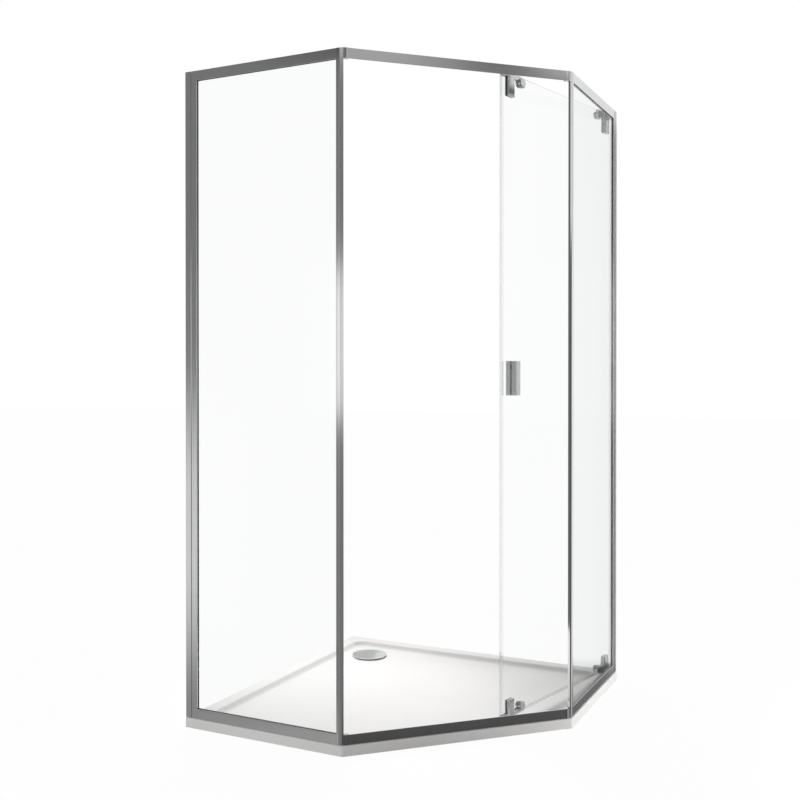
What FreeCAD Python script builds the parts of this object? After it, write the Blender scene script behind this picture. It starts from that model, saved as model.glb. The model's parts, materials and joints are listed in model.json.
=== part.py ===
import FreeCAD, Part
import os
from math import asin, atan, degrees, radians, sin, sqrt, tan

V = FreeCAD.Vector
ORIGIN = V(0, 0, 0)
UP = V(0, 0, 1)
SHORTEST_EDGE = 1e-6
LEVEL = 1e-3

# Driving dimensions, in millimetres.

# Tray: a five-sided corner tray, two sides on the walls.
tray_size = 1000.0
tray_height = 28.0
tray_overhang = 4.0
tray_corner_radius = 12.0
tray_wall_corner_radius = 5.0
tray_edge_radius = 3.5
rim_width_wall = 42.0
rim_beyond_track = 12.0
basin_slope = 18.0
basin_depth = 14.0
basin_corner_radius = 24.0
basin_brim_radius = 12.0
basin_foot_radius = 26.0
floor_fall = 4.0
well_width = 150.0

# Waste in the wall corner of the tray.
waste_from_wall = 150.0
waste_bore = 90.0
waste_flange_diameter = 112.0
waste_flange_thickness = 3.0
waste_tail_gap = 0.5
waste_tail_wall = 4.0
waste_fit = 0.3
strainer_thickness = 2.0
strainer_holes = 12
strainer_hole_diameter = 7.0
strainer_hole_circle = 54.0
cover_diameter = 120.0
cover_thickness = 2.5
cover_crown = 5.0
cover_lift = 4.0
cover_leg_diameter = 8.0
cover_legs = 3

# Frame: slim extrusions around fixed glass and a doorway across the corner.
frame_height = 1850.0
return_length = 515.0
frame_depth = 12.0
frame_wall = 2.0
rail_height = 28.0
rail_chamber = 8.0
edge_radius = 0.8
glass_thickness = 6.0
gasket_thickness = 1.0
gasket_bite = 10.0

# Wall fixing: channel on the wall, expander inside it, stile of the fixed panel.
channel_width = 18.5
channel_wall = 1.6
channel_fit = 0.2
expander_start = 3.5
expander_wall = 1.5
stile_from_wall = 27.0
stile_width = 13.0
post_cap_thickness = 2.0
wall_hole_diameter = 5.2
wall_hole_outer_margin = 150.0
wall_hole_inner_margin = 600.0
side_screw_diameter = 3.5
side_screw_head_diameter = 7.0
side_screw_head_height = 1.6
side_screw_margin = 330.0

# Corner posts and the elbows that join the rails.
post_side_width = 19.0
post_front_width = 4.0
post_slot_depth = 13.0
elbow_leg = 19.0
elbow_radius = 30.0
spigot_length = 20.0
spigot_fit = 0.2
tongue_width = 7.0
tongue_height = 5.0

# Tracks that the door runs in.
fascia_thickness = 3.0
track_base = 2.0
track_lip = 2.0
track_height = 9.0
drain_slot_length = 30.0
drain_slots = 4

# Door leaf and its running gear.
door_inset = 22.0
leaf_gap = 11.0
front_pin_margin = 10.0
rear_pin_margin = 5.0
rear_pin_from_wall = 14.0
pin_diameter = 6.0
pin_shoulder_diameter = 10.0
pin_head_diameter = 8.5
pin_head_height = 0.8
pin_fit = 0.05
shoe_width = 16.0
shoe_length = 20.0
shoe_clearance = 1.0
running_gap = 0.3
roller_diameter = 12.0
roller_groove = 0.8
roller_groove_width = 1.6

# Corner fittings that carry the glass.
fitting_thickness = 2.8
fitting_reach = 4.5
fitting_gap = 0.5
arm_height = 13.5
clamp_offset = 36.0
clamp_width = 34.0
bottom_clamp_height = 50.0
top_clamp_height = 67.0
clamp_thickness = 3.6
clamp_round = 0.8
boss_offset = 91.0
boss_rise = 17.0
boss_diameter = 30.0
boss_thickness = 9.0
inner_boss_diameter = 25.0
inner_boss_thickness = 7.0
boss_round = 2.0
boss_bolt_diameter = 8.0
boss_bolt_cover = 2.0
notch_clearance = 1.0
bolt_hole_clearance = 2.0
lug_length = 9.0
lug_height = 16.0

# Strike on the latch side, and the seals on the leaf.
strike_offset = 6.0
strike_thickness = 3.0
strike_reach = 28.0
strike_flange = 2.0
strike_seal_thickness = 2.0
strike_seal_width = 8.0
closing_gap = 0.5
seal_wall = 1.2
seal_grip = 10.0
seal_web = 1.5
leading_fin = 5.0
trailing_fin = 2.5
fin_width = 3.0
sweep_web = 1.0
sweep_height = 9.0

# Handle: a pair of flat-faced pulls, back to back through the glass.
handle_from_edge = 65.0
handle_height_above_floor = 1002.0
handle_width = 24.0
handle_projection = 15.0
handle_length = 98.0
handle_round = 1.5
handle_bolt_diameter = 6.0
handle_bolt_pitch = 64.0
handle_bolt_depth = 6.0

# Places worked out from the driving dimensions.
wall = tray_size / 2
face = wall - tray_overhang
HALF = sqrt(0.5)
MITRE = tan(radians(22.5))
corner = V(return_length - wall, -face, 0)
front_along = V(HALF, HALF, 0)
front_inward = V(-HALF, HALF, 0)
front_length = (face - corner.x) / HALF
frame_bottom = tray_height
frame_top = tray_height + frame_height
frame_middle = tray_height + frame_height / 2
slot_floor = frame_bottom + 2 * frame_wall + rail_chamber
glass_inset = frame_depth / 2
stile_inner = stile_from_wall + stile_width
rail_end = return_length - elbow_leg
post_slot_end = post_side_width - post_slot_depth

side_track_inset = frame_depth + track_lip + shoe_clearance + shoe_width / 2
track_depth = side_track_inset + shoe_width / 2 + shoe_clearance + track_lip
track_floor = frame_bottom + track_base
lip_top = frame_bottom + track_height

# The two tracks cross near the right corner: the rear pin is there when the door is shut.
crossing_along = side_track_inset / HALF - door_inset
crossing_y = -corner.x + (door_inset - crossing_along) * HALF
latch_gap = strike_offset + strike_seal_thickness + closing_gap + leading_fin
leaf_length = front_length - (crossing_along - rear_pin_margin) - latch_gap
pin_pitch = leaf_length - front_pin_margin - rear_pin_margin

# The leaf opens until its shoes are near the wall, or its handle is a handle's width from the panel.
half_glass = glass_thickness / 2
front_stop = (frame_depth + half_glass + handle_projection + handle_width - side_track_inset) / HALF
front_stop_travel = sqrt(pin_pitch ** 2 - front_stop ** 2 / 2) - front_stop * HALF
rear_stop_travel = wall - rear_pin_from_wall - crossing_y
open_travel = min(rear_stop_travel, front_stop_travel)
rear_pin = V(face - side_track_inset, crossing_y + open_travel, 0)
open_angle = degrees(asin(open_travel * HALF / pin_pitch))
rear_pin_station = leaf_length - rear_pin_margin
leaf_bottom = frame_bottom + leaf_gap
leaf_top = frame_top - leaf_gap
fitting_bottom = leaf_bottom - fitting_gap
shoe_bottom = track_floor + running_gap
shoe_top = lip_top - running_gap
waste_centre = V(-wall + waste_from_wall, wall - waste_from_wall, 0)
floor_edge = tray_height - basin_depth
well_floor = floor_edge - floor_fall


def in_plan(point):
    """Point of a plan outline."""
    return V(point.x, point.y, 0)


def in_section(point):
    """Point of a rail's cross-section: inset from the outer face, then height."""
    return V(0, point.x, point.y)


def rounded_wire(points, to_space):
    """Closed wire through corners (p, q, radius), each rounded by its own radius."""
    corners = [V(p, q, 0) for p, q, radius in points]
    stretches = []
    for index, (p, q, radius) in enumerate(points):
        here = corners[index]
        if radius == 0:
            stretches.append((here, None, here))
            continue
        before = (corners[index - 1] - here).normalize()
        after = (corners[(index + 1) % len(corners)] - here).normalize()
        half_angle = before.getAngle(after) / 2
        bisector = (before + after).normalize()
        middle = here + bisector * (radius / sin(half_angle) - radius)
        reach = radius / tan(half_angle)
        stretches.append((here + before * reach, middle, here + after * reach))
    edges = []
    for index, (start, middle, end) in enumerate(stretches):
        if middle is not None:
            edges.append(Part.Arc(to_space(start), to_space(middle), to_space(end)).toShape())
        following = stretches[(index + 1) % len(stretches)][0]
        if end.distanceToPoint(following) > SHORTEST_EDGE:
            edges.append(Part.makeLine(to_space(end), to_space(following)))
    return Part.Wire(edges)


def plan_prism(points, low, high):
    """Solid of a plan outline between two heights."""
    base = Part.Face(rounded_wire(points, in_plan)).extrude(V(0, 0, high - low))
    base.translate(V(0, 0, low))
    return base


def section_prism(points, start, end):
    """Solid of a cross-section drawn along X."""
    bar = Part.Face(rounded_wire(points, in_section)).extrude(V(end - start, 0, 0))
    bar.translate(V(start, 0, 0))
    return bar


def box(low, high):
    """Box between two corners."""
    size = [b - a for a, b in zip(low, high)]
    return Part.makeBox(*size, V(*low))


def cylinder(radius, start, end):
    """Round bar between two points."""
    along = end - start
    return Part.makeCylinder(radius, along.Length, start, along)


def turned(profile, axis_point, axis):
    """Solid of revolution of (radius, height) points about an axis."""
    points = [V(radius, 0, height) for radius, height in profile]
    spun = Part.Face(Part.makePolygon(points + points[:1])).revolve(ORIGIN, UP, 360)
    spun.Placement = FreeCAD.Placement(axis_point, FreeCAD.Rotation(UP, axis))
    return spun


def upside_down(shape):
    """Mirror image at the head of the frame of a piece at its foot."""
    return shape.mirror(V(0, 0, frame_middle), UP)


def other_side(shape):
    """Mirror image on the right-hand return of a piece on the left-hand one."""
    return shape.mirror(ORIGIN, V(1, 1, 0))


def on_left(shape):
    """Left return: X runs from the wall to the corner, Y inwards from the outer face."""
    shape.translate(V(-wall, -face, 0))
    return shape


def on_front(shape):
    """Doorway side: X runs from the left corner to the right one, Y inwards."""
    at_corner = FreeCAD.Placement(corner, FreeCAD.Rotation(UP, 45))
    shape.Placement = at_corner.multiply(shape.Placement)
    return shape


def on_leaf(shape):
    """Door leaf, open: X runs from the leading edge to the trailing one, Y inwards."""
    at_pin = FreeCAD.Placement(rear_pin, FreeCAD.Rotation(UP, 45 + open_angle))
    placed = shape.translated(V(-rear_pin_station, 0, 0))
    placed.Placement = at_pin.multiply(placed.Placement)
    return placed


def front_point(along, inset, radius=0.0):
    """Plan corner measured from the left corner along the doorway side."""
    point = corner + front_along * along + front_inward * inset
    return (point.x, point.y, radius)


def side_point(back, inset, radius=0.0):
    """Plan corner measured from the left corner back along the left return."""
    return (corner.x - back, corner.y + inset, radius)


def mitre_point(inset, radius=0.0):
    """Plan corner where both sides have the same inset."""
    return front_point(inset * MITRE, inset, radius)


def pentagon(front_inset, wall_inset, front_radius, wall_radius):
    """Five-sided outline, parallel to the frame's faces and to the walls."""
    left = mitre_point(front_inset)
    return [
        (-wall + wall_inset, wall - wall_inset, wall_radius),
        (-wall + wall_inset, -face + front_inset, wall_radius),
        (left[0], left[1], front_radius),
        (-left[1], -left[0], front_radius),
        (face - front_inset, wall - wall_inset, wall_radius),
    ]


def at_height(points, height):
    """Plan outline as a wire at a height."""
    wire = rounded_wire(points, in_plan)
    wire.translate(V(0, 0, height))
    return wire


def level_edges(shape, height, inset=0.0):
    """Edges of a solid that lie at one height, at least an inset in from the walls."""
    limit = wall - inset
    return [
        edge for edge in shape.Edges
        if abs(edge.BoundBox.ZMin - height) < LEVEL and abs(edge.BoundBox.ZMax - height) < LEVEL
        and max(abs(edge.CenterOfMass.x), abs(edge.CenterOfMass.y)) <= limit
    ]


def basin_outline(inset):
    """Outline of the basin at an inset from its brim, with the corner arcs about one centre."""
    radius = basin_corner_radius + basin_slope - inset
    return pentagon(track_depth + rim_beyond_track + inset, rim_width_wall + inset, radius, radius)


def tray():
    """Low tray: flat rim, sloped basin walls and a floor that falls to the waste."""
    outline = pentagon(-tray_overhang, 0, tray_corner_radius, tray_wall_corner_radius)
    body = plan_prism(outline, 0, tray_height)
    body = body.makeFillet(tray_edge_radius, level_edges(body, tray_height))
    brim = basin_outline(0)
    foot = basin_outline(basin_slope)
    basin = Part.makeLoft([at_height(brim, tray_height), at_height(foot, floor_edge)], True, True)
    body = body.cut(basin)
    body = body.makeFillet(basin_foot_radius, level_edges(body, floor_edge))
    body = body.makeFillet(basin_brim_radius, level_edges(body, tray_height, rim_width_wall / 2))
    floor = basin_outline(basin_slope + basin_foot_radius * tan(atan(basin_depth / basin_slope) / 2))
    shrink = well_width / (floor[4][0] - floor[0][0])
    well = [
        (waste_centre.x + (p - waste_centre.x) * shrink,
         waste_centre.y + (q - waste_centre.y) * shrink, radius * shrink)
        for p, q, radius in floor
    ]
    fall = Part.makeLoft([at_height(floor, floor_edge), at_height(well, well_floor)], True, True)
    body = body.cut(fall)
    seat = well_floor - waste_flange_thickness
    top = waste_centre + UP * tray_height
    recess = cylinder(waste_flange_diameter / 2 + waste_fit, waste_centre + UP * seat, top)
    bore = cylinder(waste_bore / 2, waste_centre, top)
    return body.cut(recess).cut(bore)


def waste_flange():
    """Flange let into the tray floor, with the tail that the trap pushes onto."""
    outer = waste_flange_diameter / 2
    tail = waste_bore / 2 - waste_fit
    mouth = tail - waste_tail_wall
    seat = well_floor - waste_flange_thickness
    profile = [
        (mouth, waste_tail_gap), (tail, waste_tail_gap), (tail, seat), (outer, seat),
        (outer, well_floor), (mouth + waste_tail_wall / 2, well_floor),
        (mouth + waste_tail_wall / 2, seat), (mouth, seat),
    ]
    return turned(profile, waste_centre, UP)


def waste_strainer():
    """Perforated plate that drops onto the ledge inside the flange."""
    radius = waste_bore / 2 - waste_fit - waste_tail_wall / 2 - waste_fit
    seat = well_floor - waste_flange_thickness
    plate = cylinder(radius, waste_centre + UP * seat, waste_centre + UP * (seat + strainer_thickness))
    for index in range(strainer_holes):
        spoke = FreeCAD.Rotation(UP, 360 * index / strainer_holes).multVec(V(strainer_hole_circle / 2, 0, 0))
        foot = waste_centre + spoke
        hole = cylinder(strainer_hole_diameter / 2, foot, foot + UP * tray_height)
        plate = plate.cut(hole)
    return plate


def dome_arc(radius, rise, crown):
    """Shallow arc from a rim up to the axis, with its centre on the axis."""
    sphere = (radius ** 2 + rise ** 2) / (2 * rise)
    sag = sphere - sqrt(sphere ** 2 - (radius / 2) ** 2)
    return Part.Arc(V(radius, 0, crown - rise), V(radius / 2, 0, crown - sag), V(0, 0, crown)).toShape()


def waste_cover():
    """Domed cover on short legs, which lifts off for cleaning."""
    radius = cover_diameter / 2
    rim = well_floor + cover_lift
    crown = rim + cover_thickness + cover_crown
    outer_arc = dome_arc(radius, cover_crown, crown)
    inner_arc = dome_arc(radius - cover_thickness, cover_crown, crown - cover_thickness)
    skirt = Part.makeLine(V(radius - cover_thickness, 0, rim), V(radius, 0, rim))
    edge = Part.makeLine(V(radius, 0, rim), V(radius, 0, rim + cover_thickness))
    axis = Part.makeLine(V(0, 0, crown), V(0, 0, crown - cover_thickness))
    dome = Part.Face(Part.Wire([outer_arc, axis, inner_arc, skirt, edge])).revolve(ORIGIN, UP, 360)
    dome.translate(waste_centre)
    leg_circle = waste_flange_diameter / 2 - cover_leg_diameter
    legs = []
    for index in range(cover_legs):
        spoke = FreeCAD.Rotation(UP, 360 * index / cover_legs).multVec(V(leg_circle, 0, 0))
        foot = waste_centre + spoke + UP * well_floor
        legs.append(cylinder(cover_leg_diameter / 2, foot, foot + UP * (cover_lift + cover_thickness)))
    return dome.fuse(legs)


def wall_hole_heights():
    """Heights of the wall screws: an outer and an inner pair."""
    return [
        frame_bottom + wall_hole_outer_margin, frame_bottom + wall_hole_inner_margin,
        frame_top - wall_hole_inner_margin, frame_top - wall_hole_outer_margin,
    ]


def side_screw_heights():
    """Heights of the screws that lock the expander."""
    return [frame_bottom + side_screw_margin, frame_middle, frame_top - side_screw_margin]


def wall_channel():
    """U-channel screwed to the wall."""
    section = [
        (0, 0, edge_radius), (channel_width, 0, 0), (channel_width, channel_wall, 0),
        (frame_wall, channel_wall, 0), (frame_wall, frame_depth - channel_wall, 0),
        (channel_width, frame_depth - channel_wall, 0), (channel_width, frame_depth, 0),
        (0, frame_depth, edge_radius),
    ]
    channel = plan_prism(section, frame_bottom, frame_top - post_cap_thickness)
    for height in wall_hole_heights():
        middle = V(0, frame_depth / 2, height)
        channel = channel.cut(cylinder(wall_hole_diameter / 2, middle, middle + V(frame_wall, 0, 0)))
    for height in side_screw_heights():
        channel = channel.cut(side_screw_shank(height))
    return on_left(channel)


def side_screw_station():
    """Distance from the wall of the screws through channel and expander."""
    return (expander_start + expander_wall + channel_width) / 2


def side_screw_shank(height):
    """Shank of a screw through the channel's inner leg into the expander."""
    station = side_screw_station()
    inner = frame_depth - channel_wall - channel_fit - expander_wall
    return cylinder(side_screw_diameter / 2, V(station, inner, height), V(station, frame_depth, height))


def expander():
    """Rectangular tube that slides in the channel and takes up an uneven wall."""
    low = channel_wall + channel_fit
    high = frame_depth - low
    top = frame_top - post_cap_thickness
    tube = box((expander_start, low, frame_bottom), (stile_from_wall, high, top))
    bore = box(
        (expander_start + expander_wall, low + expander_wall, frame_bottom),
        (stile_from_wall - expander_wall, high - expander_wall, top),
    )
    tube = tube.cut(bore)
    for height in side_screw_heights():
        tube = tube.cut(side_screw_shank(height))
    return on_left(tube)


def side_screws():
    """Screws that lock the expander in the channel, from inside the enclosure."""
    screws = []
    station = side_screw_station()
    for height in side_screw_heights():
        foot = V(station, frame_depth, height)
        head_profile = [
            (0, 0), (side_screw_head_diameter / 2, 0),
            (side_screw_head_diameter / 2, side_screw_head_height / 2),
            (side_screw_head_diameter / 3, side_screw_head_height), (0, side_screw_head_height),
        ]
        head = turned(head_profile, foot, V(0, 1, 0))
        screws.append(on_left(head.fuse(side_screw_shank(height))))
    return screws


def stile():
    """Upright of the fixed panel beside the wall, with its glazing slot."""
    section = [
        (stile_from_wall, 0, edge_radius), (stile_inner, 0, edge_radius),
        (stile_inner, frame_wall, 0), (stile_from_wall + frame_wall, frame_wall, 0),
        (stile_from_wall + frame_wall, frame_depth - frame_wall, 0),
        (stile_inner, frame_depth - frame_wall, 0), (stile_inner, frame_depth, edge_radius),
        (stile_from_wall, frame_depth, edge_radius),
    ]
    return on_left(plan_prism(section, frame_bottom, frame_top - post_cap_thickness))


def post_cap():
    """Cap that closes channel, expander and stile at the top."""
    outline = [
        (0, 0, edge_radius), (stile_inner, 0, edge_radius),
        (stile_inner, frame_depth, edge_radius), (0, frame_depth, edge_radius),
    ]
    return on_left(plan_prism(outline, frame_top - post_cap_thickness, frame_top))


def glazed_rail():
    """Bottom rail of a fixed panel: chamber below, glazing slot above."""
    top = frame_bottom + rail_height
    section = [
        (0, frame_bottom, edge_radius), (frame_depth, frame_bottom, edge_radius),
        (frame_depth, top, edge_radius), (frame_depth - frame_wall, top, edge_radius),
        (frame_depth - frame_wall, slot_floor, 0), (frame_wall, slot_floor, 0),
        (frame_wall, top, edge_radius), (0, top, edge_radius),
    ]
    rail = section_prism(section, stile_inner, rail_end)
    chamber = box(
        (stile_inner, frame_wall, frame_bottom + frame_wall),
        (rail_end, frame_depth - frame_wall, frame_bottom + frame_wall + rail_chamber),
    )
    return on_left(rail.cut(chamber))


def doorway_rail():
    """Bottom rail across the doorway: tall fascia, track floor and low inner lip."""
    top = frame_bottom + rail_height
    lip = track_depth - track_lip
    section = [
        (0, frame_bottom, edge_radius), (track_depth, frame_bottom, edge_radius),
        (track_depth, lip_top, edge_radius), (lip, lip_top, edge_radius),
        (lip, track_floor, 0), (fascia_thickness, track_floor, 0),
        (fascia_thickness, top, edge_radius), (0, top, edge_radius),
    ]
    rail = section_prism(section, elbow_leg, front_length - elbow_leg)
    pitch = (front_length - 2 * elbow_leg) / drain_slots
    for index in range(drain_slots):
        middle = elbow_leg + pitch * (index + 0.5)
        slot = box(
            (middle - drain_slot_length / 2, lip, track_floor),
            (middle + drain_slot_length / 2, track_depth, (track_floor + lip_top) / 2),
        )
        rail = rail.cut(slot)
    return on_front(rail)


def side_track():
    """Track along the inside of a return, from the elbow to the wall."""
    outer = frame_depth
    inner = track_depth
    section = [
        (outer, frame_bottom, 0), (inner, frame_bottom, edge_radius),
        (inner, lip_top, edge_radius), (inner - track_lip, lip_top, edge_radius),
        (inner - track_lip, track_floor, 0), (outer + track_lip, track_floor, 0),
        (outer + track_lip, lip_top, edge_radius), (outer, lip_top, edge_radius),
    ]
    return on_left(section_prism(section, 0, rail_end))


def band(outer, inner, leg, low, high, corner_radius=0.0, end_radius=0.0):
    """Angled strip around the corner between two insets."""
    outline = [
        mitre_point(outer, corner_radius), front_point(leg, outer, end_radius), front_point(leg, inner),
        mitre_point(inner), side_point(leg, inner), side_point(leg, outer, end_radius),
    ]
    return plan_prism(outline, low, high)


def elbow():
    """Rounded corner piece that joins two bottom rails and carries the track round."""
    top = frame_bottom + rail_height
    body = band(0, frame_depth, elbow_leg, frame_bottom, top, elbow_radius, edge_radius)
    floor = band(frame_depth, track_depth, elbow_leg, frame_bottom, track_floor)
    lip = band(track_depth - track_lip, track_depth, elbow_leg, track_floor, lip_top)
    body = body.fuse([floor, lip])
    slot = plan_prism(
        [side_point(post_slot_end, frame_wall), side_point(elbow_leg, frame_wall),
         side_point(elbow_leg, frame_depth - frame_wall),
         side_point(post_slot_end, frame_depth - frame_wall)],
        slot_floor, top,
    )
    low = frame_wall + spigot_fit
    high = frame_depth - frame_wall - spigot_fit
    spigot = plan_prism(
        [side_point(elbow_leg, low), side_point(elbow_leg + spigot_length, low),
         side_point(elbow_leg + spigot_length, high), side_point(elbow_leg, high)],
        frame_bottom + frame_wall + spigot_fit, frame_bottom + frame_wall + rail_chamber - spigot_fit,
    )
    start = fascia_thickness + spigot_fit
    tongue = plan_prism(
        [front_point(elbow_leg, start), front_point(elbow_leg, start + tongue_width),
         front_point(elbow_leg + spigot_length, start + tongue_width),
         front_point(elbow_leg + spigot_length, start)],
        track_floor, track_floor + tongue_height,
    )
    return body.cut(slot).fuse([spigot, tongue]).removeSplitter()


def jamb_depth():
    """Inset at which the post's doorway face meets its inner face."""
    return frame_depth / HALF - post_front_width


def corner_post():
    """Upright on the elbow: rounded like it, with a slot for the fixed glass and a flat jamb."""
    low = frame_bottom + rail_height
    high = frame_top - rail_height
    tip = frame_depth / HALF
    blank = plan_prism(
        [mitre_point(0, elbow_radius), front_point(tip, 0),
         side_point(post_side_width, frame_depth, edge_radius), side_point(post_side_width, 0, edge_radius)],
        low, high,
    )
    doorway = plan_prism(
        [front_point(post_front_width, -tip), front_point(tip, -tip),
         front_point(tip, tip), front_point(post_front_width, tip)],
        low, high,
    )
    slot = plan_prism(
        [side_point(post_slot_end, frame_wall), side_point(post_side_width, frame_wall),
         side_point(post_side_width, frame_depth - frame_wall),
         side_point(post_slot_end, frame_depth - frame_wall)],
        low, high,
    )
    return blank.cut(doorway).cut(slot)


def pane_limits():
    """Low and high corners of the fixed glass, in the return's own axes."""
    low = (
        stile_from_wall + frame_wall + gasket_thickness,
        glass_inset - half_glass,
        slot_floor + gasket_thickness,
    )
    high = (
        return_length - post_slot_end - gasket_thickness,
        glass_inset + half_glass,
        2 * frame_middle - slot_floor - gasket_thickness,
    )
    return low, high


def fixed_glass():
    """Pane of the return panel."""
    return on_left(box(*pane_limits()))


def glazing_gasket():
    """U-section seal round the pane, in the slots of rails, stile and post."""
    low, high = pane_limits()
    inner_low = (low[0] + gasket_bite, frame_wall, low[2] + gasket_bite)
    inner_high = (high[0] - gasket_bite, frame_depth - frame_wall, high[2] - gasket_bite)
    outer_low = (low[0] - gasket_thickness, frame_wall, low[2] - gasket_thickness)
    outer_high = (high[0] + gasket_thickness, frame_depth - frame_wall, high[2] + gasket_thickness)
    ring = box(outer_low, outer_high).cut(box(inner_low, inner_high))
    return on_left(ring.cut(box(low, high)))


def strike_profile():
    """Angle on the latch post that the leading edge of the door closes against."""
    blade = strike_offset - strike_thickness
    inner_line = frame_depth + strike_flange
    outline = [
        front_point(post_front_width, jamb_depth()), front_point(strike_offset, jamb_depth()),
        front_point(strike_offset, strike_reach, edge_radius), front_point(blade, strike_reach, edge_radius),
        front_point(blade, inner_line / HALF - blade),
        side_point(post_side_width, inner_line), side_point(post_side_width, frame_depth),
    ]
    return plan_prism(outline, frame_bottom + rail_height, frame_top - rail_height)


def strike_seal():
    """Soft strip on the strike, which the leading fin meets."""
    middle = door_inset
    outline = [
        front_point(strike_offset, middle - strike_seal_width / 2),
        front_point(strike_offset + strike_seal_thickness, middle - strike_seal_width / 2, edge_radius),
        front_point(strike_offset + strike_seal_thickness, middle + strike_seal_width / 2, edge_radius),
        front_point(strike_offset, middle + strike_seal_width / 2),
    ]
    return plan_prism(outline, frame_bottom + rail_height, frame_top - rail_height)


def front_and_rear(piece):
    """Place a piece drawn from its pin at the leading and at the trailing corner."""
    front = piece.copy()
    front.translate(V(front_pin_margin, 0, 0))
    rear = piece.mirror(ORIGIN, V(1, 0, 0))
    rear.translate(V(rear_pin_station, 0, 0))
    return front, rear


def boss_bolt_hole(radius, reach_out, reach_in):
    """Round bar along the boss axis, drawn from the pin."""
    height = leaf_bottom + boss_rise
    return cylinder(radius, V(boss_offset, -reach_out, height), V(boss_offset, reach_in, height))


def bolt_reaches():
    """How far the boss bolt runs to the outer and the inner side of the glass."""
    outer = half_glass + boss_thickness - boss_bolt_cover
    inner = half_glass + inner_boss_thickness - boss_bolt_cover
    return outer, inner


def handle_heights():
    """Heights of the two handle bolts."""
    return [handle_height_above_floor + side * handle_bolt_pitch / 2 for side in (-1, 1)]


def door_glass():
    """Door leaf, with corner notches for the pin lugs and holes for bosses and handle."""
    pane = box((0, -half_glass, leaf_bottom), (leaf_length, half_glass, leaf_top))
    notch = box(
        (-leaf_length, -half_glass, leaf_bottom),
        (lug_length + notch_clearance, half_glass, fitting_bottom + lug_height + notch_clearance),
    )
    hole = boss_bolt_hole(boss_bolt_diameter / 2 + bolt_hole_clearance, half_glass, half_glass)
    for cutter in (*front_and_rear(notch), *front_and_rear(hole)):
        pane = pane.cut(cutter).cut(upside_down(cutter))
    for height in handle_heights():
        start = V(handle_from_edge, -half_glass, height)
        end = V(handle_from_edge, half_glass, height)
        pane = pane.cut(cylinder(handle_bolt_diameter / 2 + bolt_hole_clearance, start, end))
    return pane


def fitting_half(boss_size, boss_deep, bolt_reach, clamp_height):
    """Outer half of a corner fitting: arm, upright clamp block, round boss and half a pin lug."""
    glass_side = -half_glass
    arm = box(
        (-fitting_reach, glass_side - fitting_thickness, fitting_bottom),
        (boss_offset, glass_side, fitting_bottom + arm_height),
    )
    lug = box((-fitting_reach, glass_side, fitting_bottom), (lug_length, 0, fitting_bottom + lug_height))
    clamp = box(
        (clamp_offset - clamp_width / 2, glass_side - clamp_thickness, fitting_bottom),
        (clamp_offset + clamp_width / 2, glass_side, fitting_bottom + clamp_height),
    )
    outer_edges = [edge for edge in clamp.Edges if edge.BoundBox.YMin < glass_side - LEVEL]
    clamp = clamp.makeFillet(clamp_round, outer_edges)
    boss_foot = V(boss_offset, glass_side, leaf_bottom + boss_rise)
    boss_profile = [
        (0, 0), (boss_size / 2, 0), (boss_size / 2, boss_deep - boss_round),
        (boss_size / 2 - boss_round, boss_deep), (0, boss_deep),
    ]
    boss = turned(boss_profile, boss_foot, V(0, -1, 0))
    half = arm.fuse([lug, clamp, boss])
    pin_bore = cylinder(pin_diameter / 2, V(0, 0, fitting_bottom), V(0, 0, fitting_bottom + lug_height))
    bolt_bore = boss_bolt_hole(boss_bolt_diameter / 2, bolt_reach, 0)
    return half.cut(pin_bore).cut(bolt_bore).removeSplitter()


def boss_bolt():
    """Bolt through the glass that pulls the two halves of a fitting together."""
    return boss_bolt_hole(boss_bolt_diameter / 2, *bolt_reaches())


def lug_pin(foot, head):
    """Stepped pin held in the lug; the foot runs in a shoe or carries a roller."""
    radius = pin_diameter / 2
    profile = [(0, foot)]
    if head:
        profile += [
            (pin_head_diameter / 2, foot), (pin_head_diameter / 2, foot + pin_head_height),
            (radius, foot + pin_head_height),
        ]
    else:
        profile += [(radius, foot)]
    profile += [
        (radius, shoe_top), (pin_shoulder_diameter / 2, shoe_top),
        (pin_shoulder_diameter / 2, fitting_bottom), (radius, fitting_bottom),
        (radius, fitting_bottom + lug_height), (0, fitting_bottom + lug_height),
    ]
    return turned(profile, ORIGIN, UP)


def roller():
    """Grooved guide roller on the front pin."""
    low = shoe_bottom + pin_head_height + running_gap
    high = shoe_top - running_gap
    middle = (low + high) / 2
    bore = pin_diameter / 2 + pin_fit
    rim = roller_diameter / 2
    profile = [
        (bore, low), (rim, low), (rim, middle - roller_groove_width / 2), (rim - roller_groove, middle),
        (rim, middle + roller_groove_width / 2), (rim, high), (bore, high),
    ]
    return turned(profile, ORIGIN, UP)


def shoe():
    """Sliding shoe in the side track, bored for the rear pin."""
    half_length = shoe_length / 2
    half_width = shoe_width / 2
    outline = [
        (-half_width, -half_length, half_width), (half_width, -half_length, half_width),
        (half_width, half_length, half_width), (-half_width, half_length, half_width),
    ]
    block = plan_prism(outline, shoe_bottom, shoe_top)
    bore = cylinder(pin_diameter / 2 + pin_fit, V(0, 0, shoe_bottom), V(0, 0, shoe_top))
    block = block.cut(bore)
    block.translate(rear_pin)
    return block


def edge_seal(fin):
    """Clear seal clipped on an upright glass edge, drawn for the leading edge."""
    grip = half_glass + seal_wall
    outline = [
        (-seal_web, -grip, seal_wall), (seal_grip, -grip, 0), (seal_grip, -half_glass, 0),
        (0, -half_glass, 0), (0, half_glass, 0), (seal_grip, half_glass, 0), (seal_grip, grip, 0),
        (-seal_web, grip, seal_wall), (-seal_web, fin_width / 2, 0), (-fin, fin_width / 2, fin_width / 3),
        (-fin, -fin_width / 2, fin_width / 3), (-seal_web, -fin_width / 2, 0),
    ]
    clear = fitting_bottom + lug_height + notch_clearance
    return plan_prism(outline, clear, 2 * frame_middle - clear)


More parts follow.
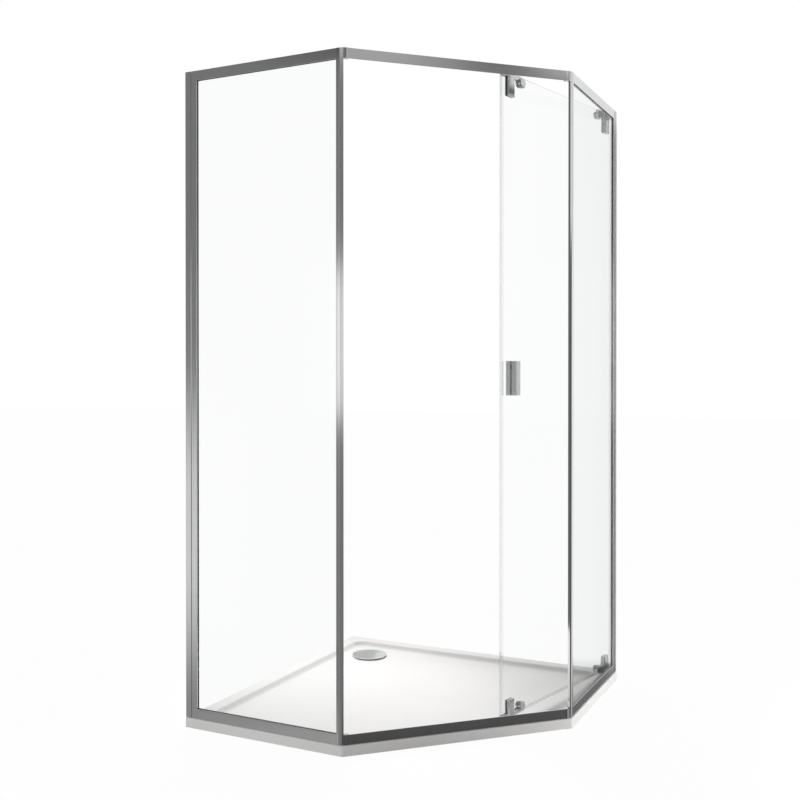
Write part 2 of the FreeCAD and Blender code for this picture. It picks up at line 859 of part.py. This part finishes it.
def sweep_seal():
    """Sweep along the leaf's bottom edge, between the corner fittings."""
    grip = half_glass + seal_wall
    end = boss_offset + boss_diameter / 2 + notch_clearance
    low = leaf_bottom - sweep_web
    section = [
        (-grip, low, 0), (grip, low, 0), (grip, low + sweep_height, 0),
        (half_glass, low + sweep_height, 0), (half_glass, leaf_bottom, 0), (-half_glass, leaf_bottom, 0),
        (-half_glass, low + sweep_height, 0), (-grip, low + sweep_height, 0),
    ]
    return section_prism(section, front_pin_margin + end, rear_pin_station - end)


def handle_bolt(height):
    """Bolt through the glass between the two pulls."""
    reach = half_glass + handle_bolt_depth
    start = V(handle_from_edge, -reach, height)
    return cylinder(handle_bolt_diameter / 2, start, start + V(0, 2 * reach, 0))


def handle():
    """Outer pull: an upright flat-faced bar, its outer edges rounded."""
    low = handle_height_above_floor - handle_length / 2
    high = handle_height_above_floor + handle_length / 2
    left = handle_from_edge - handle_width / 2
    right = handle_from_edge + handle_width / 2
    outer = -half_glass - handle_projection
    outline = [
        (left, outer, handle_round), (right, outer, handle_round),
        (right, -half_glass, 0), (left, -half_glass, 0),
    ]
    bar = plan_prism(outline, low, high)
    for height in handle_heights():
        bar = bar.cut(handle_bolt(height))
    return bar


def across_leaf(shape):
    """Mirror image on the inner side of the leaf."""
    return shape.mirror(ORIGIN, V(0, 1, 0))


def frame_pieces():
    """Tray, waste and everything fixed to the walls."""
    pieces = {
        "tray": tray(), "waste_flange": waste_flange(), "waste_strainer": waste_strainer(),
        "waste_cover": waste_cover(),
        "doorway_bottom_rail": doorway_rail(), "strike_profile": strike_profile(),
        "strike_seal": strike_seal(), "right_bottom_track": other_side(side_track()),
    }
    handed = {
        "wall_channel": wall_channel(), "expander": expander(), "stile": stile(), "post_cap": post_cap(),
        "glass": fixed_glass(), "gasket": glazing_gasket(), "corner_post": corner_post(),
        "bottom_rail": glazed_rail(), "bottom_elbow": elbow(),
    }
    for name, piece in handed.items():
        pieces["left_" + name] = piece
        pieces["right_" + name] = other_side(piece)
    for name in list(pieces):
        if "_bottom_" in name:
            pieces[name.replace("_bottom_", "_top_")] = upside_down(pieces[name])
    screws = side_screws()
    pieces["side_screws"] = Part.makeCompound(screws + [other_side(screw) for screw in screws])
    return pieces


def corner_pieces(clamp_height):
    """Fittings, pins and roller of the leaf's two bottom corners, by end and name."""
    outer_reach, inner_reach = bolt_reaches()
    outer = fitting_half(boss_diameter, boss_thickness, outer_reach, clamp_height)
    inner = across_leaf(fitting_half(inner_boss_diameter, inner_boss_thickness, inner_reach, clamp_height))
    front_outer, rear_outer = front_and_rear(outer)
    front_inner, rear_inner = front_and_rear(inner)
    return {
        ("front", "fitting_outer"): front_outer, ("rear", "fitting_outer"): rear_outer,
        ("front", "fitting_inner"): front_inner, ("rear", "fitting_inner"): rear_inner,
        ("front", "pin"): front_and_rear(lug_pin(shoe_bottom, True))[0],
        ("rear", "pin"): front_and_rear(lug_pin(shoe_bottom + running_gap, False))[1],
        ("front", "roller"): front_and_rear(roller())[0],
    }


def door_pieces():
    """Leaf, fittings, running gear, seals and handle, in the open position."""
    pieces = {}
    for (end, name), piece in corner_pieces(bottom_clamp_height).items():
        pieces[f"{end}_bottom_{name}"] = piece
    for (end, name), piece in corner_pieces(top_clamp_height).items():
        pieces[f"{end}_top_{name}"] = upside_down(piece)
    bolts = list(front_and_rear(boss_bolt()))
    pieces["boss_bolts"] = Part.makeCompound(bolts + [upside_down(bolt) for bolt in bolts])
    trailing = edge_seal(trailing_fin).mirror(ORIGIN, V(1, 0, 0))
    trailing.translate(V(leaf_length, 0, 0))
    pieces.update({
        "door_glass": door_glass(), "leading_seal": edge_seal(leading_fin), "trailing_seal": trailing,
        "sweep_seal": sweep_seal(), "handle_outer": handle(), "handle_inner": across_leaf(handle()),
        "handle_bolts": Part.makeCompound([handle_bolt(height) for height in handle_heights()]),
    })
    return {name: on_leaf(piece) for name, piece in pieces.items()}


def carriage_pieces():
    """Shoes that carry the rear pins along the side tracks."""
    return {"rear_bottom_shoe": shoe(), "rear_top_shoe": upside_down(shoe())}


os.makedirs("parts", exist_ok=True)
for group in (frame_pieces(), door_pieces(), carriage_pieces()):
    for name, piece in group.items():
        piece.exportStep(f"parts/{name}.step")
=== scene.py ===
"""Looks of the shower enclosure: finishes, studio light, floor and camera. Sizes are in metres."""
import json
from math import cos, radians

import bpy
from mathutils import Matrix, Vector

# The photograph's camera: its turn is to the left of +Y and its pitch is from the level, in degrees.
IMAGE_SIDE = 800
SENSOR_WIDTH = 36.0
FOCAL_PIXELS = 1015.7
CAMERA_PLACE = (1.3333, -2.8413, 1.0209)
CAMERA_TURN = 26.394
CAMERA_PITCH = -0.384
CAMERA_SHIFT = (0.0069, -0.027)

# A camera or lamp that isn't turned looks straight down. This tips it up to the level, in degrees.
LEVEL = 90.0

# Textures are noise in cells per metre, read between two levels. A stretch multiplies the coordinates, so a
# small factor draws the texture out along an extrusion.
NOISE_ROUGHNESS = 0.55
GRAIN_DETAIL = 4.0
PEEL_DETAIL = 2.0
WAVE_DETAIL = 1.0
TEXTURE_LEVELS = (0.3, 0.7)
DRAWN_OUT = 0.004
EVEN = (1.0, 1.0, 1.0)
ALONG_X = (DRAWN_OUT, 1.0, 1.0)
ALONG_Y = (1.0, DRAWN_OUT, 1.0)
ALONG_Z = (1.0, 1.0, DRAWN_OUT)
DOORWAY_TURN = -45.0

# Finishes. A texture moves a tone or a roughness between the two values of its pair, and raises relief of
# (strength, depth).
ALUMINIUM_SLOT = "polished_aluminium"
ALUMINIUM_TONES = ((0.84, 0.845, 0.85), (0.88, 0.885, 0.89))
ALUMINIUM_CLOUDS = 14.0
ALUMINIUM_LINES = 900.0
ALUMINIUM_RELIEF = (0.05, 0.0002)
BRIGHT_ALUMINIUM = (0.08, 0.14)
POLISHED_ALUMINIUM = (0.03, 0.06)
SATIN_ALUMINIUM = (0.36, 0.46)

CHROME_TONES = ((0.79, 0.795, 0.80), (0.83, 0.835, 0.84))
CHROME_CLOUDS = 30.0
CHROME_PEEL = 260.0
CHROME_RELIEF = (0.04, 0.0003)
BRIGHT_CHROME = (0.10, 0.16)
SATIN_CHROME = (0.16, 0.22)

STEEL_TONES = ((0.60, 0.61, 0.62), (0.72, 0.73, 0.74))
STEEL_ROUGHNESS = (0.24, 0.36)
STEEL_GRAIN = 1400.0
STEEL_STRETCH = (1.0, 1.0, 8.0)
STEEL_RELIEF = (0.08, 0.0002)

# The indexes are below real glass, so that the panes mirror as little of the room as in the photograph.
GLASS_TONES = ((0.970, 0.976, 0.975), (0.976, 0.982, 0.980))
GLASS_WAVE = 3.0
GLASS_STRETCH = (1.0, 1.0, 0.25)
GLASS_RELIEF = (0.01, 0.001)
PANE_INDEX = 1.2
LEAF_INDEX = 1.12

SEAL_TONES = ((0.88, 0.89, 0.895), (0.94, 0.945, 0.95))
SEAL_ROUGHNESS = (0.35, 0.45)
SEAL_CLOUDS = 40.0
SEAL_STRETCH = (1.0, 1.0, 0.05)
SEAL_ALPHA = 0.05

RUBBER_TONES = ((0.66, 0.665, 0.67), (0.74, 0.745, 0.75))
RUBBER_ROUGHNESS = (0.55, 0.70)
RUBBER_GRAIN = 700.0
RUBBER_RELIEF = (0.15, 0.0003)

ACRYLIC_TONES = ((0.905, 0.893, 0.875), (0.925, 0.915, 0.90))
ACRYLIC_ROUGHNESS = (0.26, 0.36)
ACRYLIC_CLOUDS = 5.0
ACRYLIC_PEEL = 420.0
ACRYLIC_RELIEF = (0.03, 0.0003)
ACRYLIC_COAT = 0.25
ACRYLIC_COAT_ROUGHNESS = 0.12

NYLON_TONES = ((0.80, 0.80, 0.78), (0.86, 0.86, 0.84))
NYLON_ROUGHNESS = (0.45, 0.58)
NYLON_GRAIN = 900.0
NYLON_RELIEF = (0.1, 0.0002)

# White light, and the strength at which the eye sees it as plain white.
WHITE = (1.0, 1.0, 1.0, 1.0)
WHITE_STRENGTH = 1.0

# A ray has bounced where its count of bounces is over this.
ANY_BOUNCE = 0.5

# Studio floor: its side, its tone to the eye, the share of that which glows and takes no shadow, and its
# tone where it lights the object.
FLOOR_SIZE = 40.0
FLOOR_SHOWN = 1.0
FLOOR_GLOW = 0.97
FLOOR_BOUNCE = 0.28
FLOOR_ROUGHNESS = 0.9

# Dome of soft light: an even part, a part that grows towards the zenith, and large soft lamps, each
# (direction, spread in degrees, brightness): one at the right, a back light and a fill at the left.
DOME_EVEN = 0.13
DOME_RISE = 0.18
LAMPS = [
    ((0.72, 0.62, 0.30), 34.0, 0.15),
    ((-0.35, 0.65, 0.68), 26.0, 2.1),
    ((-0.82, -0.47, 0.33), 34.0, 0.5),
]

# Soft spot lamp behind and over the tray: its place and aim, the full angle of its cone in degrees, the
# softness of the cone's edge, its power and its radius.
SPOT_PLACE = (-1.35, 1.05, 2.1)
SPOT_AIM = (-0.24, 0.0, 0.0)
SPOT_CONE = 33.0
SPOT_BLEND = 1.0
SPOT_POWER = 215.0
SPOT_RADIUS = 0.25

# Low strip lamps for the tray's outer faces, each (place, turn about the upright axis, power).
STRIPS = [
    ((1.20, 0.25, 0.014), 90.0, 6.5),
    ((-0.25, -1.20, 0.014), 0.0, 2.4),
]
STRIP_LENGTH = 1.1
STRIP_HEIGHT = 0.022

# Bands of elevation, in degrees, that the left, front and right faces mirror at their tops, their feet and
# between, and a window at eye level.
EVERYWHERE = (-90.0, 90.0)
LEFT_TOP = (17.05, 90.0)
LEFT_FOOT = (-90.0, -18.8)
FRONT_TOP = (15.9, 90.0)
FRONT_MIDDLE = (-17.0, 15.9)
FRONT_UPPER = (7.3, 15.9)
FRONT_LOWER = (-17.0, 7.3)
FRONT_FOOT = (-90.0, -17.0)
RIGHT_ABOVE_FOOT = (-15.8, 90.0)
RIGHT_MIDDLE = (-15.8, 13.3)
RIGHT_FOOT = (-90.0, -15.8)
WINDOW = (-2.6, 5.9)

# What metal mirrors: an open room with cards in it. Each card is (azimuths, elevations, softness of each,
# brightness), in degrees, and later cards stand before earlier ones. Azimuth 0 is +X and 90 is +Y.
OPEN_ROOM = 0.55
CARDS = [
    # Left return and left post, and the sides of the pulls.
    ((-200.0, -106.0), EVERYWHERE, (4.0, 1.0), 0.19),
    ((-106.0, -33.0), EVERYWHERE, (3.0, 1.0), 0.18),
    ((-137.0, -124.5), (-15.0, -2.5), (2.5, 4.0), 0.70),
    ((-145.0, -130.0), (-6.0, 5.0), (2.0, 2.0), 0.47),
    ((-121.0, -95.0), WINDOW, (1.8, 0.4), 0.95),
    ((-95.0, -33.0), WINDOW, (12.0, 0.4), 0.60),
    ((-95.0, -55.0), WINDOW, (14.0, 0.4), 0.74),
    ((-145.0, -117.0), LEFT_FOOT, (1.0, 0.6), 0.36),
    ((-80.0, -33.0), LEFT_FOOT, (2.0, 0.4), 0.07),
    ((-124.0, -102.0), LEFT_TOP, (2.5, 0.2), 0.10),
    ((-102.0, -63.0), LEFT_TOP, (4.0, 0.2), 0.45),
    ((-63.0, -32.5), LEFT_TOP, (3.0, 0.2), 0.16),
    # Faces of the doorway's rails.
    ((-33.0, -14.0), FRONT_FOOT, (1.0, 0.4), 0.06),
    ((-33.0, -14.0), FRONT_MIDDLE, (1.0, 0.4), 0.30),
    ((-20.5, -14.0), FRONT_MIDDLE, (1.5, 0.4), 0.10),
    ((-31.5, -14.0), FRONT_TOP, (1.0, 0.3), 0.43),
    ((-24.4, -17.8), FRONT_TOP, (2.5, 0.3), 0.27),
    ((-22.0, -19.0), FRONT_TOP, (0.8, 0.3), 0.10),
    ((-17.6, -12.0), FRONT_TOP, (0.6, 0.3), 0.66),
    # Right post's rounded corner, the leaf's fittings and the faces of the pulls.
    ((-12.0, 20.0), FRONT_TOP, (2.0, 0.3), 0.42),
    ((20.0, 66.0), FRONT_TOP, (4.0, 0.3), 0.70),
    ((-14.0, 3.0), FRONT_UPPER, (2.0, 0.4), 0.20),
    ((3.0, 66.0), FRONT_UPPER, (2.0, 0.4), 0.68),
    ((-14.0, 66.0), FRONT_LOWER, (2.0, 0.4), 0.10),
    ((46.0, 66.0), FRONT_LOWER, (2.0, 0.4), 0.90),
    ((43.8, 51.5), FRONT_MIDDLE, (0.5, 0.4), 0.72),
    ((43.8, 51.5), WINDOW, (0.5, 0.4), 0.92),
    ((-14.0, 7.0), FRONT_FOOT, (2.0, 0.4), 0.30),
    ((7.0, 39.0), FRONT_FOOT, (2.0, 0.4), 0.13),
    ((39.0, 64.0), FRONT_FOOT, (2.0, 0.4), 0.46),
    # Right return.
    ((66.0, 115.0), RIGHT_ABOVE_FOOT, (0.2, 0.4), 0.81),
    ((75.6, 80.0), RIGHT_MIDDLE, (0.1, 0.4), 0.06),
    ((64.0, 80.0), RIGHT_FOOT, (2.0, 0.4), 0.14),
    # Doorway side of the right post.
    ((138.0, 168.0), EVERYWHERE, (4.0, 1.0), 0.12),
]


def new_material(name):
    """Material with its node tree and its shader."""
    material = bpy.data.materials.new(name)
    material.use_nodes = True
    tree = material.node_tree
    shader = tree.nodes["Principled BSDF"]
    return material, tree, shader


def add_node(tree, kind, inputs=None, **settings):
    """Node with its settings, and its inputs set to values or linked from other nodes' outputs."""
    node = tree.nodes.new(kind)
    for name, value in settings.items():
        setattr(node, name, value)
    for name, value in (inputs or {}).items():
        if isinstance(value, bpy.types.NodeSocket):
            tree.links.new(value, node.inputs[name])
        else:
            node.inputs[name].default_value = value
    return node


def noise(tree, scale, stretch=EVEN, turn=0.0, detail=GRAIN_DETAIL):
    """Noise over the object's own coordinates, stretched and turned about the upright axis."""
    coordinates = add_node(tree, "ShaderNodeTexCoord")
    mapping = add_node(
        tree, "ShaderNodeMapping",
        {"Vector": coordinates.outputs["Object"], "Scale": stretch, "Rotation": (0.0, 0.0, radians(turn))},
    )
    texture = add_node(
        tree, "ShaderNodeTexNoise",
        {
            "Vector": mapping.outputs["Vector"], "Scale": scale, "Detail": detail,
            "Roughness": NOISE_ROUGHNESS,
        },
    )
    return texture.outputs["Fac"]


def vary(tree, socket, texture, pair):
    """Let a texture move a shader's socket between the two tones or numbers of a pair."""
    ramp = add_node(tree, "ShaderNodeValToRGB", {"Fac": texture})
    for element, level, value in zip(ramp.color_ramp.elements, TEXTURE_LEVELS, pair):
        element.position = level
        element.color = (value, value, value, 1.0) if isinstance(value, float) else (*value, 1.0)
    tree.links.new(ramp.outputs["Color"], socket)


def bump(tree, shader, texture, relief):
    """Fine relief on a shader."""
    strength, depth = relief
    node = add_node(tree, "ShaderNodeBump", {"Height": texture, "Strength": strength, "Distance": depth})
    tree.links.new(node.outputs["Normal"], shader.inputs["Normal"])


def drawn_aluminium(name, stretch, turn=0.0, roughness=BRIGHT_ALUMINIUM):
    """Drawn aluminium, with faint die lines along the extrusion."""
    material, tree, shader = new_material(name)
    lines = noise(tree, ALUMINIUM_LINES, stretch, turn)
    vary(tree, shader.inputs["Base Color"], noise(tree, ALUMINIUM_CLOUDS), ALUMINIUM_TONES)
    vary(tree, shader.inputs["Roughness"], lines, roughness)
    shader.inputs["Metallic"].default_value = 1.0
    bump(tree, shader, lines, ALUMINIUM_RELIEF)
    return material


def chrome(name, roughness):
    """Chrome plating over castings, with a little orange peel."""
    material, tree, shader = new_material(name)
    peel = noise(tree, CHROME_PEEL)
    vary(tree, shader.inputs["Base Color"], noise(tree, CHROME_CLOUDS), CHROME_TONES)
    vary(tree, shader.inputs["Roughness"], peel, roughness)
    shader.inputs["Metallic"].default_value = 1.0
    bump(tree, shader, peel, CHROME_RELIEF)
    return material


def brushed_steel():
    """Stainless steel with a fine turned grain."""
    material, tree, shader = new_material("brushed_steel")
    grain = noise(tree, STEEL_GRAIN, STEEL_STRETCH)
    vary(tree, shader.inputs["Base Color"], grain, STEEL_TONES)
    vary(tree, shader.inputs["Roughness"], grain, STEEL_ROUGHNESS)
    shader.inputs["Metallic"].default_value = 1.0
    bump(tree, shader, grain, STEEL_RELIEF)
    return material


def clear_glass(name, index):
    """Toughened clear glass, with the slight roller wave of tempering."""
    material, tree, shader = new_material(name)
    wave = noise(tree, GLASS_WAVE, GLASS_STRETCH, detail=WAVE_DETAIL)
    vary(tree, shader.inputs["Base Color"], wave, GLASS_TONES)
    shader.inputs["Roughness"].default_value = 0.0
    shader.inputs["Transmission Weight"].default_value = 1.0
    shader.inputs["IOR"].default_value = index
    bump(tree, shader, wave, GLASS_RELIEF)
    return material


def clear_seal():
    """Clear soft plastic, thin enough to see through and faintly cloudy along its length."""
    material, tree, shader = new_material("clear_seal")
    clouds = noise(tree, SEAL_CLOUDS, SEAL_STRETCH)
    vary(tree, shader.inputs["Base Color"], clouds, SEAL_TONES)
    vary(tree, shader.inputs["Roughness"], clouds, SEAL_ROUGHNESS)
    shader.inputs["Alpha"].default_value = SEAL_ALPHA
    return material


def grey_rubber():
    """Soft pale grey glazing rubber."""
    material, tree, shader = new_material("grey_rubber")
    grain = noise(tree, RUBBER_GRAIN)
    vary(tree, shader.inputs["Base Color"], grain, RUBBER_TONES)
    vary(tree, shader.inputs["Roughness"], grain, RUBBER_ROUGHNESS)
    bump(tree, shader, grain, RUBBER_RELIEF)
    return material


def white_acrylic():
    """Moulded white acrylic with a soft gloss and a very fine orange peel."""
    material, tree, shader = new_material("white_acrylic")
    peel = noise(tree, ACRYLIC_PEEL, detail=PEEL_DETAIL)
    vary(tree, shader.inputs["Base Color"], noise(tree, ACRYLIC_CLOUDS), ACRYLIC_TONES)
    vary(tree, shader.inputs["Roughness"], peel, ACRYLIC_ROUGHNESS)
    shader.inputs["Coat Weight"].default_value = ACRYLIC_COAT
    shader.inputs["Coat Roughness"].default_value = ACRYLIC_COAT_ROUGHNESS
    bump(tree, shader, peel, ACRYLIC_RELIEF)
    return material


def white_nylon():
    """Matte white nylon of shoes and rollers."""
    material, tree, shader = new_material("white_nylon")
    grain = noise(tree, NYLON_GRAIN)
    vary(tree, shader.inputs["Base Color"], grain, NYLON_TONES)
    vary(tree, shader.inputs["Roughness"], grain, NYLON_ROUGHNESS)
    bump(tree, shader, grain, NYLON_RELIEF)
    return material


def slot_finishes():
    """Finish of each material slot apart from aluminium's."""
    return {
        "bright_chrome": chrome("bright_chrome", BRIGHT_CHROME),
        "stainless_steel": brushed_steel(),
        "clear_glass": clear_glass("clear_glass", PANE_INDEX),
        "clear_seal": clear_seal(),
        "grey_seal": grey_rubber(),
        "white_acrylic": white_acrylic(),
        "white_nylon": white_nylon(),
    }


def aluminium_finishes():
    """Aluminium of each kind: die lines along the extrusions, and an even grain on the elbows."""
    return {
        "upright": drawn_aluminium("aluminium_upright", ALONG_Z),
        "left": drawn_aluminium("aluminium_left", ALONG_X),
        "right": drawn_aluminium("aluminium_right", ALONG_Y),
        "doorway": drawn_aluminium("aluminium_front", ALONG_X, DOORWAY_TURN),
        "elbow": drawn_aluminium("aluminium_polished", EVEN, roughness=POLISHED_ALUMINIUM),
        "track": drawn_aluminium("aluminium_satin", ALONG_Y, roughness=SATIN_ALUMINIUM),
    }


def aluminium_kind(name):
    """Kind of aluminium of a node, by its name: the side of a rail, elbow, track, or else upright."""
    words = name.split("_")
    if words[-1] == "rail":
        return words[0]
    return words[-1] if words[-1] in ("elbow", "track") else "upright"


def finish_nodes(nodes, record):
    """Give every node its finish: the pulls and the leaf have their own, and the rest go by their slots."""
    by_slot = slot_finishes()
    by_kind = aluminium_finishes()
    pull_finish = chrome("satin_chrome", SATIN_CHROME)
    by_name = {
        "handle_outer": pull_finish,
        "handle_inner": pull_finish,
        "door_glass": clear_glass("leaf_glass", LEAF_INDEX),
    }
    for entry in record["subparts"]:
        name = entry["node"]
        slot = entry["material_slot"]
        if name in by_name:
            material = by_name[name]
        elif slot == ALUMINIUM_SLOT:
            material = by_kind[aluminium_kind(name)]
        else:
            material = by_slot[slot]
        node = nodes[name]
        node.data.materials.clear()
        node.data.materials.append(material)


def calculate(tree, operation, *values):
    """Result of one sum on numbers and outputs."""
    return add_node(tree, "ShaderNodeMath", dict(enumerate(values)), operation=operation).outputs["Value"]


def blend(tree, share, first, second):
    """A number that gives way to a second one by a share."""
    node = add_node(tree, "ShaderNodeMix", {"Factor": share, "A": first, "B": second}, data_type="FLOAT")
    return node.outputs["Result"]


def soft_step(tree, value, edge, softness):
    """0 below an edge and 1 above it, with a soft change between."""
    node = add_node(
        tree, "ShaderNodeMapRange",
        {"Value": value, "From Min": edge - softness, "From Max": edge + softness},
        interpolation_type="SMOOTHSTEP",
    )
    return node.outputs["Result"]


def between(tree, value, limits, softness):
    """1 between two limits and 0 outside them, with soft edges."""
    low, high = limits
    return calculate(
        tree, "SUBTRACT", soft_step(tree, value, low, softness), soft_step(tree, value, high, softness)
    )


def mirrored_room(tree, direction):
    """Brightness of the room in each direction, as metal mirrors it."""
    parts = add_node(tree, "ShaderNodeSeparateXYZ", {"Vector": direction}).outputs
    azimuth = calculate(tree, "DEGREES", calculate(tree, "ARCTAN2", parts["Y"], parts["X"]))
    elevation = calculate(tree, "DEGREES", calculate(tree, "ARCSINE", parts["Z"]))
    shown = OPEN_ROOM
    for azimuths, elevations, (side_softness, level_softness), brightness in CARDS:
        card = calculate(
            tree, "MULTIPLY", between(tree, azimuth, azimuths, side_softness),
            between(tree, elevation, elevations, level_softness),
        )
        shown = blend(tree, card, shown, brightness)
    return shown


def soft_dome(tree, direction):
    """Brightness of the dome that lights the object."""
    height = add_node(tree, "ShaderNodeSeparateXYZ", {"Vector": direction}).outputs["Z"]
    dome = calculate(tree, "MULTIPLY_ADD", calculate(tree, "MAXIMUM", height, 0.0), DOME_RISE, DOME_EVEN)
    for towards, spread, brightness in LAMPS:
        facing = add_node(
            tree, "ShaderNodeVectorMath", {0: direction, 1: Vector(towards).normalized()},
            operation="DOT_PRODUCT",
        )
        edge = cos(radians(spread))
        lamp = soft_step(tree, facing.outputs["Value"], edge, 1.0 - edge)
        dome = calculate(tree, "MULTIPLY_ADD", lamp, brightness, dome)
    return dome


def sight_lines(tree):
    """1 for what the eye sees, straight or through glass, and 1 for what it sees by way of a mirror."""
    path = add_node(tree, "ShaderNodeLightPath").outputs
    through = path["Is Transmission Ray"]
    scattered = calculate(tree, "GREATER_THAN", path["Diffuse Depth"], ANY_BOUNCE)
    turned = calculate(tree, "GREATER_THAN", path["Glossy Depth"], ANY_BOUNCE)
    seen = calculate(tree, "MAXIMUM", path["Is Camera Ray"], through)
    seen = calculate(tree, "SUBTRACT", seen, calculate(tree, "MAXIMUM", scattered, turned))
    mirrored = calculate(
        tree, "MAXIMUM", path["Is Glossy Ray"], calculate(tree, "MULTIPLY", through, turned)
    )
    mirrored = calculate(tree, "SUBTRACT", mirrored, scattered)
    return calculate(tree, "MAXIMUM", seen, 0.0), calculate(tree, "MAXIMUM", mirrored, 0.0)


def mix_shaders(tree, share, first, second):
    """A shader that gives way to a second one by a share."""
    return add_node(tree, "ShaderNodeMixShader", {0: share, 1: first, 2: second}).outputs["Shader"]


def background(tree, strength):
    """White background of a given strength."""
    node = add_node(tree, "ShaderNodeBackground", {"Color": WHITE, "Strength": strength})
    return node.outputs["Background"]


def studio_world():
    """White surround for the eye, a soft dome for light, and a room of cards for mirrors."""
    world = bpy.data.worlds.new("studio")
    bpy.context.scene.world = world
    world.use_nodes = True
    tree = world.node_tree
    tree.nodes.clear()
    direction = add_node(tree, "ShaderNodeTexCoord").outputs["Generated"]
    seen, mirrored = sight_lines(tree)
    dome = background(tree, soft_dome(tree, direction))
    room = background(tree, mirrored_room(tree, direction))
    lit = mix_shaders(tree, mirrored, dome, room)
    shown = mix_shaders(tree, seen, lit, background(tree, WHITE_STRENGTH))
    add_node(tree, "ShaderNodeOutputWorld", {"Surface": shown})


def studio_floor():
    """White floor that keeps a faint shadow of the object and lets mirrors see the room's cards."""
    bpy.ops.mesh.primitive_plane_add(size=FLOOR_SIZE)
    floor = bpy.context.object
    floor.name = "floor"
    material, tree, shader = new_material("studio_floor")
    seen, mirrored = sight_lines(tree)
    tree.links.new(blend(tree, seen, FLOOR_BOUNCE, FLOOR_SHOWN), shader.inputs["Base Color"])
    shader.inputs["Roughness"].default_value = FLOOR_ROUGHNESS
    glow = add_node(tree, "ShaderNodeEmission", {"Color": WHITE, "Strength": WHITE_STRENGTH})
    glowing = calculate(tree, "MULTIPLY", seen, FLOOR_GLOW)
    solid = mix_shaders(tree, glowing, shader.outputs["BSDF"], glow.outputs["Emission"])
    clear = add_node(tree, "ShaderNodeBsdfTransparent")
    surface = mix_shaders(tree, mirrored, solid, clear.outputs["BSDF"])
    tree.links.new(surface, tree.nodes["Material Output"].inputs["Surface"])
    floor.data.materials.append(material)


def hidden_lamp(name, kind, power, place, turn):
    """Lamp that lights matte surfaces, and that neither mirrors nor the eye see."""
    data = bpy.data.lights.new(name, kind)
    data.energy = power
    lamp = bpy.data.objects.new(name, data)
    lamp.location = place
    lamp.rotation_euler = turn
    lamp.visible_camera = False
    lamp.visible_glossy = False
    lamp.visible_transmission = False
    bpy.context.scene.collection.objects.link(lamp)
    return data


def tray_lamps():
    """Soft pool of light in the tray, and low strips along its outer faces."""
    aim = Vector(SPOT_AIM) - Vector(SPOT_PLACE)
    spot_turn = aim.to_track_quat("-Z", "Y").to_euler()
    spot = hidden_lamp("tray_spot", "SPOT", SPOT_POWER, SPOT_PLACE, spot_turn)
    spot.spot_size = radians(SPOT_CONE)
    spot.spot_blend = SPOT_BLEND
    spot.shadow_soft_size = SPOT_RADIUS
    for place, turn, power in STRIPS:
        strip = hidden_lamp("low_strip", "AREA", power, place, (radians(LEVEL), 0.0, radians(turn)))
        strip.shape = "RECTANGLE"
        strip.size = STRIP_LENGTH
        strip.size_y = STRIP_HEIGHT


def photograph_camera():
    """Camera at the photograph's place, nearly level and turned to the left."""
    data = bpy.data.cameras.new("camera")
    data.sensor_width = SENSOR_WIDTH
    data.lens = FOCAL_PIXELS / IMAGE_SIDE * SENSOR_WIDTH
    data.shift_x, data.shift_y = CAMERA_SHIFT
    camera = bpy.data.objects.new("camera", data)
    camera.location = CAMERA_PLACE
    camera.rotation_euler = (radians(LEVEL + CAMERA_PITCH), 0.0, radians(CAMERA_TURN))
    bpy.context.scene.collection.objects.link(camera)
    bpy.context.scene.camera = camera


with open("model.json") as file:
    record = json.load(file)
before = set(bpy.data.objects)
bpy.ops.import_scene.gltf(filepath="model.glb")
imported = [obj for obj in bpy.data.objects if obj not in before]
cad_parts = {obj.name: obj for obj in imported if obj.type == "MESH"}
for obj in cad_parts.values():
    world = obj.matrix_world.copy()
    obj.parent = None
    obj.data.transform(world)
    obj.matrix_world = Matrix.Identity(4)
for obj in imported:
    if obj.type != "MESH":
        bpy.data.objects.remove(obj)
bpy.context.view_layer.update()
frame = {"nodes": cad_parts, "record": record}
bpy.context.scene.view_settings.view_transform = "Standard"
finish_nodes(frame["nodes"], frame["record"])
studio_world()
studio_floor()
tray_lamps()
photograph_camera()
